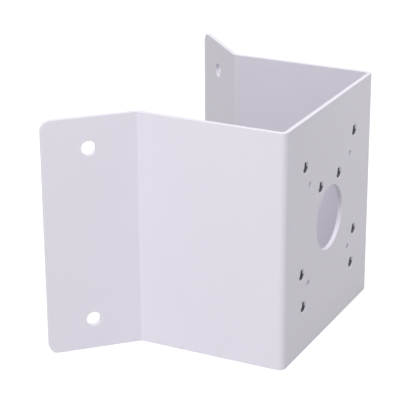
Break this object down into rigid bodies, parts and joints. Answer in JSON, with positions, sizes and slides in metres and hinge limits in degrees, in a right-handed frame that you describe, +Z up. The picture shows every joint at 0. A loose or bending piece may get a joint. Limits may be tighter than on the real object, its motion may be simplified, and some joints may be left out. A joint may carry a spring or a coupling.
{
  "type": "camera corner mount bracket",
  "caption": "Folded steel bracket that holds a surveillance camera on a building's outer corner: front plate with threaded holes, two side panels, two angled wall flanges.",
  "frame": {"origin": "middle of the box around the bracket, at the height of its lower edges, on which it stands", "axes": "+Z up, -Y out of the front plate towards the camera, +X to the right as seen from the front, across the two side panels"},
  "size_m": [0.2422, 0.1538, 0.165],
  "materials": {
    "white_powder_coat": "satin powder coat, white with a faint cool tint, on folded steel sheet; the threads are bare"
  },
  "bodies": {
    "root": {"bracket_sheet": "white_powder_coat"}
  },
  "joints": []
}
